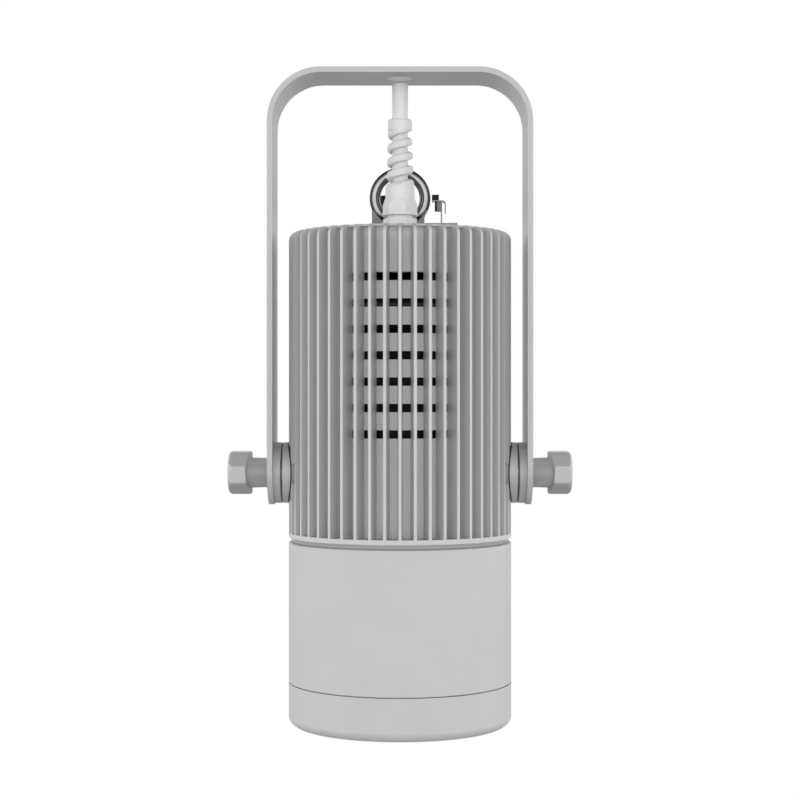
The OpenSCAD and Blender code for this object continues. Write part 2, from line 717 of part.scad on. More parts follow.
// Gland: threaded body through the top plate, held by a locknut inside.
module gland_body() {
    neck_r = 7.5;
    color("whitesmoke") on_lamp() difference() {
        union() {
            intersection() {
                translate([0, 0, gland_z]) rotate([0, 0, gland_turn]) hex_bar(gland_flats, gland_collar_h);
                translate([0, 0, gland_z]) cylinder(d = gland_flats * 1.11, h = gland_collar_h);
            }
            translate([0, 0, gland_z - top_plate - 8]) cylinder(r = gland_thread_r, h = top_plate + 8.5);
            translate([0, 0, gland_z + gland_collar_h - 1]) cylinder(r = neck_r, h = gland_groove + 7.5 + 1);
        }
        translate([0, 0, gland_z - top_plate - 9]) cylinder(r = cable_r + cable_play, h = gland_collar_h + top_plate + 12);
        translate([0, 0, gland_z + gland_collar_h]) cylinder(r = neck_r - 1.3, h = gland_groove + 9);
    }
}

module gland_locknut() {
    color("whitesmoke") on_lamp() translate([0, 0, top_z - top_plate - 5]) difference() {
        hex_bar(22, 5);
        translate([0, 0, -1]) cylinder(r = gland_thread_r + seat, h = 7);
    }
}

module gland_seal() {
    color("dimgray") on_lamp() translate([0, 0, gland_z + gland_collar_h + seat]) tube(6.1, cable_r + 0.05, gland_groove + 7);
}

// Gland nut: moulded in one piece with the bend protection. Above its shoulder a
// spiral band winds round the cable up to a collar, open between the turns.
function band_section(inner, outer, half, round) = [[inner, -half], [outer - round, -half],
    [outer - round * 0.3, -half + round * 0.3], [outer, -half + round], [outer, half - round],
    [outer - round * 0.3, half - round * 0.3], [outer - round, half], [inner, half]];

function band_ring(a) =
    let (z = band_top_z + (a - band_from) / 360 * spiral_pitch,
        outer = (boot_foot_d + (boot_tip_d - boot_foot_d) * (z - boot_z) / boot_h) / 2 - 0.1)
    [for (c = band_section(cable_r + cable_play + 0.1, outer, band_h / 2, band_round))
        [c[0] * cos(a), c[0] * sin(a), z + c[1]]];

module spiral_band() {
    steps = ceil((band_from - band_to) / 18);
    skin([for (i = [0 : steps]) band_ring(band_from - (band_from - band_to) * i / steps)]);
}

module gland_nut_spiral() {
    corner_d = gland_flats * 1.15;
    shoulder_r = boot_foot_d / 2;
    shoulder_round = 3.4;
    collar_r = boot_tip_d / 2;
    color("whitesmoke") on_lamp() difference() {
        union() {
            translate([0, 0, nut_z]) intersection() {
                rotate([0, 0, gland_turn]) hex_bar(gland_flats, gland_nut_h);
                union() {
                    cylinder(d = corner_d, h = gland_nut_h - nut_bevel);
                    translate([0, 0, gland_nut_h - nut_bevel])
                        cylinder(r1 = corner_d / 2, r2 = shoulder_r + 0.2, h = nut_bevel);
                }
            }
            translate([0, 0, nut_z]) cylinder(d = corner_d, h = nut_foot);
            rotate_extrude() {
                translate([0, boot_z - 0.5]) square([shoulder_r, shoulder_h + 0.5 - shoulder_round]);
                translate([0, boot_z - 0.5]) square([shoulder_r - shoulder_round, shoulder_h + 0.5]);
                translate([shoulder_r - shoulder_round, boot_z + shoulder_h - shoulder_round]) circle(r = shoulder_round);
            }
            translate([0, 0, boot_top - collar_h]) cylinder(r = collar_r, h = collar_h - 0.6);
            translate([0, 0, boot_top - 0.6]) cylinder(r1 = collar_r, r2 = collar_r - 0.6, h = 0.6);
            spiral_band();
        }
        translate([0, 0, nut_z - 1]) cylinder(r = 7.6, h = 9);
        translate([0, 0, nut_z]) cylinder(r = cable_r + cable_play, h = boot_top - nut_z + 1);
    }
}

// The least gap between two turns of the band: from the top of one turn to the
// bottom of the turn above it.
echo(least_gap_in_spiral = band_ring(0)[0][2] - band_ring(-360)[7][2]);

// Cable: the clamped end inside the gland and the free end above it.
module cable_tail() {
    start = top_z - top_plate - cable_inside;
    color("whitesmoke") on_lamp() translate([0, 0, start]) cylinder(r = cable_r, h = boot_z - start);
}

function cable_ring(p) = [for (j = [0 : 11]) [p[0] + cable_r * cos(j * 30), p[1] + cable_r * sin(j * 30), p[2]]];

module power_cable() {
    color("whitesmoke") on_lamp() translate([0, 0, boot_z]) mirror([0, 1, 0]) skin([for (p = cable_route) cable_ring(p)]);
}

// Safety ring: a steel ring welded upright into a saddle bolted on the housing.
module safety_ring() {
    color("silver") on_lamp() translate([0, ring_back, ring_z]) rotate([90, 0, 0])
        rotate_extrude() translate([ring_mid_r, 0]) circle(d = ring_t, $fn = 48);
}

module ring_saddle() {
    saddle_t = 5;
    foot_left = 16.6;
    foot_right = 14.4;
    ring_sink = 7.4;      // from the ring's middle down to the saddle's top
    half_top = sqrt(pow(ring_mid_r + ring_t / 2, 2) - pow(ring_sink, 2)) - 0.4;
    rise = ring_z - top_z - ring_sink;
    color("gray") on_lamp() difference() {
        translate([0, ring_back + saddle_t / 2, 0]) rotate([90, 0, 0]) linear_extrude(saddle_t) difference() {
            polygon([[-foot_left, top_z], [foot_right, top_z], [foot_right, top_z + 11.5], [half_top, top_z + rise],
                [-foot_left, top_z + rise]]);
            translate([0, ring_z]) circle(r = ring_mid_r);
        }
        translate([0, ring_back, ring_z]) rotate([90, 0, 0])
            rotate_extrude() translate([ring_mid_r, 0]) circle(d = ring_t + 2 * seat, $fn = 48);
        translate([0, ring_back, top_z - 1]) cylinder(r = m4[0] + seat, h = 4.6);
    }
}

module ring_bolt() {
    washer_r = 6;
    color("silver") on_lamp() translate([0, ring_back, top_z - top_plate]) {
        head_screw(m4, top_plate + 3.2);
        translate([0, 0, -0.8]) tube(washer_r, m4[0] - eps, 0.8);
    }
}

// Control socket behind the gland, closed by a ribbed rubber cap.
module control_socket() {
    thread_r = socket_d / 2;
    color("silver") on_lamp() translate(socket_pos + [0, 0, top_z]) difference() {
        union() {
            cylinder(r = thread_r + 2, h = 2.5);
            translate([0, 0, -top_plate - 4.5]) cylinder(r = thread_r, h = top_plate + 4.5 + socket_h - 10);
        }
        translate([0, 0, socket_h - 16]) cylinder(r = thread_r - 1.2, h = 10);
    }
}

module socket_nut() {
    color("silver") on_lamp() translate(socket_pos + [0, 0, top_z - top_plate - 3.5]) difference() {
        hex_bar(socket_nut_flats, 3.5);
        translate([0, 0, -1]) cylinder(d = socket_d + 2 * seat, h = 6);
    }
}

module socket_cap() {
    cap_z = 4.5;
    outer = socket_d / 2 + 1.3;
    color("#161616") on_lamp() translate(socket_pos + [0, 0, top_z + cap_z]) difference() {
        union() {
            cylinder(r = outer, h = socket_h - cap_z - 1);
            translate([0, 0, socket_h - cap_z - 1]) cylinder(r1 = outer, r2 = outer - 1, h = 1);
            around(12, outer - 0.3) cylinder(r = 0.8, h = socket_h - cap_z - 2, $fn = 24);
        }
        translate([0, 0, -1]) cylinder(d = socket_d + 2 * seat, h = socket_h - 10 - cap_z + 1.4);
    }
}

// Cable clip: low base, upright sheet bracket with a bent leaf, jaw and rubber pad.
module clip_base() {
    color("gainsboro") on_lamp() translate(clip_pos + [0, 0, top_z]) difference() {
        translate([-9.6, -9, 0]) cube([19.3, 18, clip_base_h]);
        for (side = [-1, 1]) translate([0, side * clip_screw_y, clip_base_h])
            flush_hole(clip_screw, clip_base_h + 1);
        translate([-seat, -clip_foot[1] / 2 - seat, clip_base_h - clip_plate_t])
            cube([clip_foot[0] + 2 * seat, clip_foot[1] + 2 * seat, clip_plate_t + 1]);
    }
}

module clip_bracket() {
    leaf_w = clip_foot[1];
    foot_z = clip_base_h - clip_plate_t;
    bend = 2.2;
    leaf_x = 3;
    leaf_left = 5.2;
    leaf_drop = 7;
    color("silver") on_lamp() translate(clip_pos + [0, 0, top_z]) {
        translate([0, -leaf_w / 2, foot_z]) cube([clip_plate_t, leaf_w, clip_leaf_z - foot_z + eps]);
        translate([0, -leaf_w / 2, foot_z]) cube([clip_foot[0], leaf_w, clip_plate_t]);
        translate([-leaf_left, -leaf_w / 2, clip_leaf_z]) cube([leaf_left + leaf_x - bend, leaf_w, clip_leaf_t]);
        translate([leaf_x - bend, leaf_w / 2, clip_leaf_z + clip_leaf_t - bend]) rotate([90, 0, 0]) intersection() {
            tube(bend, bend - clip_leaf_t, leaf_w);
            cube([bend, bend, leaf_w]);
        }
        translate([leaf_x - clip_leaf_t, -leaf_w / 2, clip_leaf_z - leaf_drop])
            cube([clip_leaf_t, leaf_w, leaf_drop + clip_leaf_t - bend]);
    }
}

module clip_jaw() {
    jaw = [3.5, 7, 5.2];
    color("gray") on_lamp() translate(clip_pos + [-jaw[0], -jaw[1] / 2, top_z + clip_leaf_z - jaw[2] - 0.3])
        cube(jaw);
}

module clip_pad() {
    pad = [4, 8, 3.3];
    color("#161616") on_lamp() translate(clip_pos + [-5.2, -pad[1] / 2, top_z + clip_leaf_z + clip_leaf_t]) cube(pad);
}

module clip_screws() {
    color("silver") on_lamp() translate(clip_pos + [0, 0, top_z + clip_base_h])
        for (side = [-1, 1]) translate([0, side * clip_screw_y, 0])
            flush_screw(clip_screw, clip_base_h + top_plate + 2);
}

// Tilt knob: moulded head with flats and a rounded end. Its back slopes away at the
// front and rear for the fingers, and its neck widens a little towards the head.
module tilt_knob(side) {
    round_r = knob_d / 2 - 0.25;
    end_round = 3;
    back_bevel = 1.2;
    slope = 0.28;
    color("gainsboro") on_axis(side) difference() {
        union() {
            translate([0, 0, neck_x]) cylinder(d1 = neck_d - 0.4, d2 = neck_d + 0.4, h = head_x - neck_x + 4);
            translate([0, 0, head_x]) difference() {
                intersection() {
                    rotate([0, 0, 90 + 180 / knob_sides + 6.9]) cylinder(d = knob_d, h = knob_head, $fn = knob_sides);
                    rotate_extrude() {
                        polygon([[0, -eps], [round_r - back_bevel, -eps], [round_r, back_bevel],
                            [round_r, knob_head - end_round], [0, knob_head - end_round]]);
                        square([round_r - end_round, knob_head]);
                        translate([round_r - end_round, knob_head - end_round]) circle(r = end_round);
                    }
                }
                translate([-knob_d, 0, 0.2]) rotate([90, 0, 90]) linear_extrude(2 * knob_d)
                    polygon([[-knob_d, slope * knob_d], [0, 0], [knob_d, slope * knob_d], [knob_d, -2], [-knob_d, -2]]);
            }
        }
        translate([0, 0, neck_x - 1]) cylinder(d = stud_d, h = neck_len + 5);
    }
}

// Stud: threaded steel rod moulded into the knob.
module knob_stud(side) {
    tip = 1;
    color("silver") on_axis(side) translate([0, 0, stud_start_x]) {
        cylinder(r1 = stud_d / 2 - tip, r2 = stud_d / 2, h = tip);
        translate([0, 0, tip]) cylinder(d = stud_d, h = neck_x - 1 + neck_len + 5 - stud_start_x - tip);
    }
}

module knob_washer(side) {
    color("silver") on_axis(side) translate([0, 0, arm_out]) tube(neck_d / 2 - 0.4, stud_d / 2 + run_play, washer_t);
}

yoke();
outer_tooth_disc(-1);  // outer_tooth_disc_left
outer_tooth_disc(1);  // outer_tooth_disc_right
outer_disc_screws();
heatsink_housing();
barrel();
front_bezel();
front_glass();
glass_gasket();
glass_retainer();
reflector();
led_holder();
led_board();
led_emitter();
led_holder_screws();
heat_spreader();
spreader_screws();
barrel_seal();
barrel_screws();
inner_tooth_disc(-1);  // inner_tooth_disc_left
inner_tooth_disc(1);  // inner_tooth_disc_right
inner_disc_screws();
standoffs();
fan_shelf();
shelf_screws();
fan_frame();
fan_screws();
fan_rotor();
driver_tray();
driver_board();
control_board();
gland_body();
gland_locknut();
gland_seal();
gland_nut_spiral();
power_cable();
cable_tail();
safety_ring();
ring_saddle();
ring_bolt();
control_socket();
socket_nut();
socket_cap();
clip_base();
clip_bracket();
clip_jaw();
clip_pad();
clip_screws();
tilt_knob(-1);  // tilt_knob_left
tilt_knob(1);  // tilt_knob_right
knob_stud(-1);  // knob_stud_left
knob_stud(1);  // knob_stud_right
knob_washer(-1);  // knob_washer_left
knob_washer(1);  // knob_washer_right
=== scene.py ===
import math

import bmesh
import bpy
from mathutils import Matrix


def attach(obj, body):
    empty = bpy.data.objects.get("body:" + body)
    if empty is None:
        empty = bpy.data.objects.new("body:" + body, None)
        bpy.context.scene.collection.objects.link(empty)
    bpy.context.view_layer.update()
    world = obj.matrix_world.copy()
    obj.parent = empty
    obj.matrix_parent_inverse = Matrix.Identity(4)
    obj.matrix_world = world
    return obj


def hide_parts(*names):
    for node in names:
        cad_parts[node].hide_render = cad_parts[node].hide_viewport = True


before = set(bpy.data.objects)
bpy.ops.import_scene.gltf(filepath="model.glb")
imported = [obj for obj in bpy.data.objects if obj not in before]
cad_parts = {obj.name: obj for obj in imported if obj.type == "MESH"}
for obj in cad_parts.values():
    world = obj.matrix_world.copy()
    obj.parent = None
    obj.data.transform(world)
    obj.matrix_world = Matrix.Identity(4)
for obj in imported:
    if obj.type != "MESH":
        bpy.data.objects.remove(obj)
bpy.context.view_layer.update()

# Camera: level, a little over a metre in front of the lamp, at half its height.
# It stands where the photograph was taken, so the lamp fills the picture alike.
CAMERA_AT = (0.0, -1.0207, -0.1883)
CAMERA_LENS = 79.65
CAMERA_SENSOR = 36.0
camera_data = bpy.data.cameras.new("camera")
camera_data.lens = CAMERA_LENS
camera_data.sensor_width = CAMERA_SENSOR
camera = bpy.data.objects.new("camera", camera_data)
camera.location = CAMERA_AT
camera.rotation_euler = (math.radians(90), 0, 0)
bpy.context.collection.objects.link(camera)
bpy.context.scene.camera = camera
bpy.context.scene.view_settings.view_transform = "Standard"


# Power lead: round nine millimetre lead with an off-white sheath, pushed through
# the gland and cut square just under the yoke. The cut shows three copper cores.
LEAD_DIAMETER = 0.0091
LEAD_ROUTE = [
    (0.0, 0.0, -0.0725),
    (0.0, 0.0, -0.0505),
    (0.0, 0.0, -0.0285),
    (0.0, 0.0, -0.0061),
]
LEAD_SIDES = 24
CUT_EDGE = 0.0004
SHEATH_WHITE = (0.77, 0.77, 0.765)
SHEATH_PAINTED_SHADE = (0.66, 0.66, 0.655)
UP = (0, 0, 1)
INSIDE_SPIRAL = (UP, (0, 0, -0.0467), 0.0165)
PAINT_EDGE = 0.000005


def new_material(name):
    """Returns a node material, its node tree and its shader."""
    material = bpy.data.materials.new(name)
    material.use_nodes = True
    tree = material.node_tree
    return material, tree, tree.nodes["Principled BSDF"]


def mottled_colour(tree, shader, colour, spread, grain):
    """Lets a colour wander a little round its mean, as paint and mouldings do."""
    place = tree.nodes.new("ShaderNodeTexCoord")
    noise = tree.nodes.new("ShaderNodeTexNoise")
    noise.inputs["Scale"].default_value = grain
    noise.inputs["Detail"].default_value = 4.0
    ramp = tree.nodes.new("ShaderNodeValToRGB")
    darker, lighter = ramp.color_ramp.elements
    darker.position = 0.3
    lighter.position = 0.7
    darker.color = [c * (1 - spread) for c in colour] + [1]
    lighter.color = [min(1, c * (1 + spread)) for c in colour] + [1]
    tree.links.new(place.outputs["Object"], noise.inputs["Vector"])
    tree.links.new(noise.outputs["Fac"], ramp.inputs["Fac"])
    tree.links.new(ramp.outputs["Color"], shader.inputs["Base Color"])
    return place


def surface_bump(tree, shader, place, grain, height, detail=2.0):
    """Adds a fine uneven surface of the given grain."""
    noise = tree.nodes.new("ShaderNodeTexNoise")
    noise.inputs["Scale"].default_value = grain
    noise.inputs["Detail"].default_value = detail
    bump = tree.nodes.new("ShaderNodeBump")
    bump.inputs["Strength"].default_value = 0.6
    bump.inputs["Distance"].default_value = height
    tree.links.new(place.outputs["Object"], noise.inputs["Vector"])
    tree.links.new(noise.outputs["Fac"], bump.inputs["Height"])
    tree.links.new(bump.outputs["Normal"], shader.inputs["Normal"])


def blended_colour(tree, amount, before, colour):
    """Turns the colour that was there into another one where the amount is one."""
    mix = tree.nodes.new("ShaderNodeMix")
    mix.data_type = "RGBA"
    colours = [socket for socket in mix.inputs if socket.type == "RGBA"]
    tree.links.new(amount, mix.inputs["Factor"])
    tree.links.new(before, colours[0])
    colours[1].default_value = (*colour, 1)
    return [socket for socket in mix.outputs if socket.type == "RGBA"][0]


def nearness(tree, place, directions, centre, reach, fade):
    """One within reach of a centre, measured in some directions, and nought outside."""
    offset = tree.nodes.new("ShaderNodeVectorMath")
    offset.operation = "SUBTRACT"
    offset.inputs[1].default_value = centre
    tree.links.new(place.outputs["Object"], offset.inputs[0])
    counted = tree.nodes.new("ShaderNodeVectorMath")
    counted.operation = "MULTIPLY"
    counted.inputs[1].default_value = directions
    tree.links.new(offset.outputs[0], counted.inputs[0])
    distance = tree.nodes.new("ShaderNodeVectorMath")
    distance.operation = "LENGTH"
    tree.links.new(counted.outputs[0], distance.inputs[0])
    near = tree.nodes.new("ShaderNodeMapRange")
    near.interpolation_type = "SMOOTHSTEP"
    near.inputs["From Min"].default_value = reach
    near.inputs["From Max"].default_value = reach + (PAINT_EDGE + fade)
    near.inputs["To Min"].default_value = 1.0
    near.inputs["To Max"].default_value = 0.0
    tree.links.new(distance.outputs["Value"], near.inputs["Value"])
    return near.outputs["Result"]


def paint_where(material, colour, *places):
    """Paints where all places overlap.

    A place is the directions that count, its centre, its reach and, if soft, its edge's width."""
    tree = material.node_tree
    shader = tree.nodes["Principled BSDF"]
    coordinates = tree.nodes.new("ShaderNodeTexCoord")
    inside = None
    for directions, centre, reach, *fade in places:
        near = nearness(tree, coordinates, directions, centre, reach, sum(fade))
        if inside is None:
            inside = near
            continue
        both = tree.nodes.new("ShaderNodeMath")
        both.operation = "MULTIPLY"
        tree.links.new(inside, both.inputs[0])
        tree.links.new(near, both.inputs[1])
        inside = both.outputs[0]
    before = shader.inputs["Base Color"].links[0].from_socket
    painted = blended_colour(tree, inside, before, colour)
    tree.links.new(painted, shader.inputs["Base Color"])


def moulded_plastic(name, colour, roughness, grain=900.0, height=0.00003, gloss=0.4):
    """A moulding: even colour with faint flow marks and a fine satin grain."""
    material, tree, shader = new_material(name)
    place = mottled_colour(tree, shader, colour, spread=0.02, grain=60.0)
    surface_bump(tree, shader, place, grain, height)
    shader.inputs["Roughness"].default_value = roughness
    shader.inputs["Specular IOR Level"].default_value = gloss
    return material


def give(material, *names):
    """Puts a material on CAD pieces."""
    for name in names:
        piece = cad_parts[name]
        piece.data.materials.clear()
        piece.data.materials.append(material)


def lead_mesh(route, radius):
    """A straight round lead with a slightly broken edge at its cut end."""
    mesh = bpy.data.meshes.new("power_lead")
    form = bmesh.new()
    cut_z = route[-1][2]
    rings = [(z, radius) for _, _, z in route[:-1]]
    rings += [(cut_z - CUT_EDGE, radius), (cut_z, radius - CUT_EDGE)]
    turns = [2 * math.pi * i / LEAD_SIDES for i in range(LEAD_SIDES)]
    loops = []
    for z, ring_radius in rings:
        points = [(ring_radius * math.cos(turn), ring_radius * math.sin(turn), z) for turn in turns]
        loops.append([form.verts.new(point) for point in points])
    for lower, upper in zip(loops, loops[1:]):
        for i in range(LEAD_SIDES):
            j = (i + 1) % LEAD_SIDES
            form.faces.new((lower[i], lower[j], upper[j], upper[i])).smooth = True
    form.faces.new(loops[-1])
    form.faces.new(list(reversed(loops[0])))
    form.to_mesh(mesh)
    form.free()
    return mesh


sheath = moulded_plastic("lead_sheath", SHEATH_WHITE, roughness=0.5, grain=1400.0, gloss=0.3)
# Painted shade: the sheath is darker inside the spiral bend protection.
paint_where(sheath, SHEATH_PAINTED_SHADE, INSIDE_SPIRAL)
lead = bpy.data.objects.new("power_lead", lead_mesh(LEAD_ROUTE, LEAD_DIAMETER / 2))
lead.data.materials.append(sheath)
bpy.context.collection.objects.link(lead)
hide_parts("power_cable")
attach(lead, "lamp")
give(sheath, "cable_tail", "power_cable")

CORE_CIRCLE = 0.0019
CORE_SLEEVE = 0.00145
CORE_WIRE = 0.0009
CORE_SHOWS = 0.00012
CORE_SIDES = 20
CORE_TAPER = 0.94
FIRST_CORE_AT = 90
SLEEVE_RISE = 0.00004
WIRE_RISE = 0.00006
COPPER = (0.7, 0.33, 0.18)
CORE_COLOURS = {
    "core_brown": (0.12, 0.05, 0.025),
    "core_blue": (0.03, 0.12, 0.35),
    "core_green": (0.1, 0.3, 0.06),
}


def core_mesh(name, radius):
    """The cut end of a core: a thin round disc with a broken edge."""
    mesh = bpy.data.meshes.new(name)
    form = bmesh.new()
    bmesh.ops.create_cone(form, cap_ends=True, segments=CORE_SIDES, depth=CORE_SHOWS,
                          radius1=radius, radius2=radius * CORE_TAPER)
    form.to_mesh(mesh)
    form.free()
    return mesh


copper, tree, shader = new_material("bare_copper")
mottled_colour(tree, shader, COPPER, spread=0.25, grain=4000.0)
shader.inputs["Metallic"].default_value = 1.0
shader.inputs["Roughness"].default_value = 0.35
for count, (name, colour) in enumerate(CORE_COLOURS.items()):
    turn = math.radians(FIRST_CORE_AT + 360 * count / len(CORE_COLOURS))
    x, y = CORE_CIRCLE * math.cos(turn), CORE_CIRCLE * math.sin(turn)
    z = LEAD_ROUTE[-1][2] + SLEEVE_RISE
    sleeve = bpy.data.objects.new(name, core_mesh(name, CORE_SLEEVE))
    sleeve.data.materials.append(moulded_plastic(name, colour, roughness=0.45))
    wire = bpy.data.objects.new(name + "_wire", core_mesh(name + "_wire", CORE_WIRE))
    wire.data.materials.append(copper)
    sleeve.location = (x, y, z)
    wire.location = (x, y, z + WIRE_RISE)
    for piece in (sleeve, wire):
        bpy.context.collection.objects.link(piece)
        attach(piece, "lamp")


# Studio: white all round for the eye. The soft light stands round the lamp at its
# own height and falls off upwards and downwards, over a pale floor far below.
FLOOR_Z = -1.35
FLOOR_RADIUS = 1.4
FLOOR_GREY = (0.72, 0.72, 0.72)
WHITE = (1, 1, 1, 1)
LIGHT_LEVEL = 2.5
LIGHT_FALL = 2.0
RIGHT_BIAS = 0.02
TOP_BIAS = 0.22
BIAS_STEEPNESS = 4.0
SHEEN_LOW = 0.16
SHEEN_FROM, SHEEN_TO = 0.15, 0.85


def studio_world():
    """White for camera rays; light and reflections are strongest from the height of the lamp."""
    world = bpy.data.worlds.new("studio")
    bpy.context.scene.world = world
    world.use_nodes = True
    tree = world.node_tree
    tree.nodes.clear()

    def math_node(kind, *values):
        node = tree.nodes.new("ShaderNodeMath")
        node.operation = kind
        for socket, value in zip(node.inputs, values):
            if isinstance(value, (int, float)):
                socket.default_value = value
            else:
                tree.links.new(value, socket)
        return node.outputs[0]

    direction = tree.nodes.new("ShaderNodeTexCoord").outputs["Generated"]
    parts = tree.nodes.new("ShaderNodeSeparateXYZ")
    tree.links.new(direction, parts.inputs[0])
    rays = tree.nodes.new("ShaderNodeLightPath").outputs

    steepness = math_node("ABSOLUTE", parts.outputs["Z"])
    ring = math_node("POWER", math_node("SUBTRACT", 1.0, steepness), LIGHT_FALL)
    sideways = math_node("MULTIPLY_ADD", parts.outputs["X"], RIGHT_BIAS, 1.0)
    height = math_node("MULTIPLY", parts.outputs["Z"], BIAS_STEEPNESS)
    height = math_node("MAXIMUM", math_node("MINIMUM", height, 1.0), -1.0)
    bias = math_node("MULTIPLY_ADD", height, TOP_BIAS, sideways)
    soft = math_node("MULTIPLY", math_node("MULTIPLY", ring, LIGHT_LEVEL), bias)

    room = tree.nodes.new("ShaderNodeMapRange")
    room.interpolation_type = "SMOOTHSTEP"
    room.inputs["From Min"].default_value = SHEEN_FROM
    room.inputs["From Max"].default_value = SHEEN_TO
    room.inputs["To Min"].default_value = 1.0
    room.inputs["To Max"].default_value = SHEEN_LOW
    tree.links.new(steepness, room.inputs["Value"])
    upper = math_node("MULTIPLY_ADD", height, TOP_BIAS, 1.0)
    glossy = tree.nodes.new("ShaderNodeMix")
    tree.links.new(rays["Is Glossy Ray"], glossy.inputs["Factor"])
    tree.links.new(soft, glossy.inputs["A"])
    tree.links.new(math_node("MULTIPLY", room.outputs["Result"], upper), glossy.inputs["B"])

    final = tree.nodes.new("ShaderNodeMix")
    seen = math_node("MAXIMUM", rays["Is Camera Ray"], rays["Is Transmission Ray"])
    tree.links.new(seen, final.inputs["Factor"])
    tree.links.new(glossy.outputs["Result"], final.inputs["A"])
    final.inputs["B"].default_value = 1.0
    light = tree.nodes.new("ShaderNodeBackground")
    light.inputs["Color"].default_value = WHITE
    tree.links.new(final.outputs["Result"], light.inputs["Strength"])
    output = tree.nodes.new("ShaderNodeOutputWorld")
    tree.links.new(light.outputs[0], output.inputs["Surface"])


def floor_paint():
    """Pale matt paint that the camera itself sees as white."""
    material, tree, shader = new_material("floor_paint")
    mottled_colour(tree, shader, FLOOR_GREY, spread=0.01, grain=3.0)
    shader.inputs["Roughness"].default_value = 0.9
    backdrop = tree.nodes.new("ShaderNodeMixShader")
    plain = tree.nodes.new("ShaderNodeEmission")
    plain.inputs["Color"].default_value = WHITE
    seen = tree.nodes.new("ShaderNodeLightPath").outputs["Is Camera Ray"]
    tree.links.new(seen, backdrop.inputs["Fac"])
    tree.links.new(shader.outputs[0], backdrop.inputs[1])
    tree.links.new(plain.outputs[0], backdrop.inputs[2])
    tree.links.new(backdrop.outputs[0], tree.nodes["Material Output"].inputs["Surface"])
    return material


studio_world()
floor_mesh = bpy.data.meshes.new("floor")
floor_form = bmesh.new()
bmesh.ops.create_circle(floor_form, cap_ends=True, segments=64, radius=FLOOR_RADIUS)
floor_form.to_mesh(floor_mesh)
floor_form.free()
floor = bpy.data.objects.new("floor", floor_mesh)
floor.location = (0, 0, FLOOR_Z)
bpy.context.collection.objects.link(floor)
floor.data.materials.append(floor_paint())


# Yoke: one flat steel bar, bent twice round a former, drilled and powder coated.
# The coat is a satin light grey with the fine orange peel of baked powder. Shade is
# painted darker on the inner faces, under the top bar and inside the bends, and
# light is painted paler on the wall of the hanging hole.
ACROSS = (1, 0, 0)
FRONT_TO_BACK = (0, 1, 0)
ROUND_LAMP = (1, 1, 0)
ROUND_FRONT_AXIS = (1, 0, 1)
YOKE_TOP = (0, 0, 0)
POWDER_GREY = (0.56, 0.56, 0.56)
YOKE_PAINTED_SHADE = (0.47, 0.47, 0.47)
YOKE_DEEPER_PAINTED_SHADE = (0.37, 0.37, 0.37)
HOLE_WALL_PAINTED_LIGHT = (0.58, 0.58, 0.58)
BEND_CENTRE = (0.0448, 0, -0.0304)
BEND_RADIUS = 0.0275
BEND_EDGE = 0.0027
BEND_SHADE = 0.004
BEND_SHADE_FADE = 0.022
INNER_FACES = (FRONT_TO_BACK, YOKE_TOP, 0.02198)
BETWEEN_BENDS = (ACROSS, YOKE_TOP, BEND_CENTRE[0])
BETWEEN_ARMS = (ACROSS, YOKE_TOP, 0.07213)
UNDER_TOP_BAR = (UP, (0, 0, -0.0331), 0.03003)
BELOW_BENDS = (UP, (0, 0, -0.1774), 0.15)
UPPER_ARMS = (UP, YOKE_TOP, 0.075, 0.02)
HANGING_HOLE = (ROUND_LAMP, YOKE_TOP, 0.00705)
BAR_THICKNESS = (UP, YOKE_TOP, 0.00308)


def powder_coat(name, colour, roughness=0.48, grain=650.0, height=0.00006, flake=0.4):
    """Baked powder with metal flake: satin, slightly uneven in tone, with orange peel."""
    material, tree, shader = new_material(name)
    place = mottled_colour(tree, shader, colour, spread=0.015, grain=35.0)
    surface_bump(tree, shader, place, grain, height)
    shader.inputs["Roughness"].default_value = roughness
    shader.inputs["Specular IOR Level"].default_value = 0.35
    shader.inputs["Metallic"].default_value = flake
    return material


yoke_coat = powder_coat("yoke_coat", POWDER_GREY)
# Painted shade: darker on the inner faces, under the top bar and inside the bends.
paint_where(yoke_coat, YOKE_PAINTED_SHADE, BETWEEN_BENDS, INNER_FACES, UNDER_TOP_BAR)
for side in (-1, 1):
    bend = (side * BEND_CENTRE[0], BEND_CENTRE[1], BEND_CENTRE[2])
    inside_bend = (ROUND_FRONT_AXIS, bend, BEND_RADIUS, BEND_EDGE)
    foot_of_bend = (UP, bend, BEND_SHADE, BEND_SHADE_FADE)
    paint_where(yoke_coat, YOKE_PAINTED_SHADE, inside_bend, INNER_FACES)
    paint_where(yoke_coat, YOKE_DEEPER_PAINTED_SHADE, inside_bend, INNER_FACES, foot_of_bend)
# Deeper painted shade on the inner faces of the upper arms.
paint_where(yoke_coat, YOKE_DEEPER_PAINTED_SHADE, BETWEEN_ARMS, INNER_FACES, BELOW_BENDS, UPPER_ARMS)
# Painted light: the wall of the hanging hole is paler.
paint_where(yoke_coat, HOLE_WALL_PAINTED_LIGHT, HANGING_HOLE, BAR_THICKNESS)
give(yoke_coat, "yoke")


